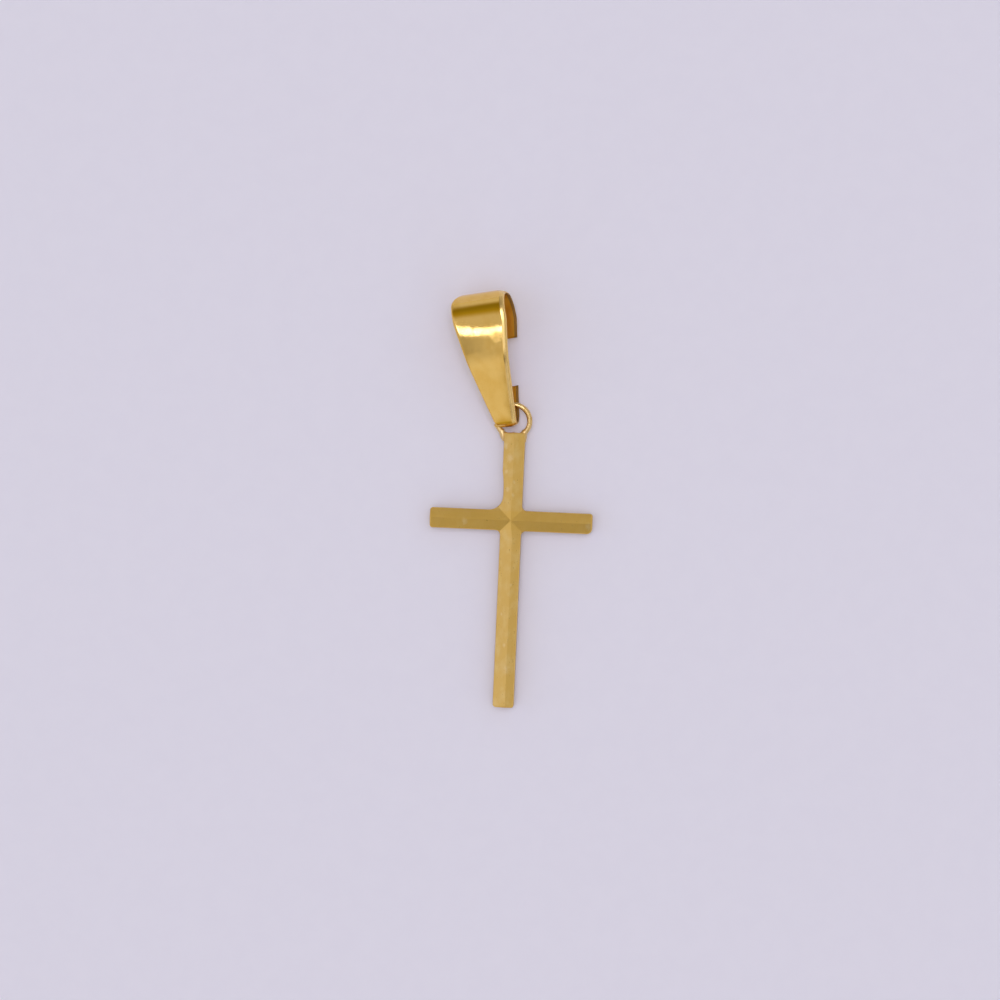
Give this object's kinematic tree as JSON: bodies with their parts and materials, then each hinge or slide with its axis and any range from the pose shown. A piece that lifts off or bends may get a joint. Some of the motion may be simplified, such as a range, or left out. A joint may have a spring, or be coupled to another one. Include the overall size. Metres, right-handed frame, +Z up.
{
  "type": "cross pendant with loose bail",
  "caption": "Small plain gold cross pendant with low ridged bars, a soldered ring at its top and a loose folded strip bail for a chain, lying on its back.",
  "frame": {"origin": "under the centre of the crossing, on the cross's flat back", "axes": "+X along the right arm, +Y along the upper limb towards the bail, +Z up out of the ridged front"},
  "size_m": [0.012, 0.0307, 0.0044],
  "materials": {
    "gold_satin": "satin, finely scratched yellow gold",
    "gold_polished": "polished yellow gold, tarnished inside"
  },
  "bodies": {
    "root": {"cross": "gold_satin", "bail": "gold_polished"}
  },
  "joints": []
}
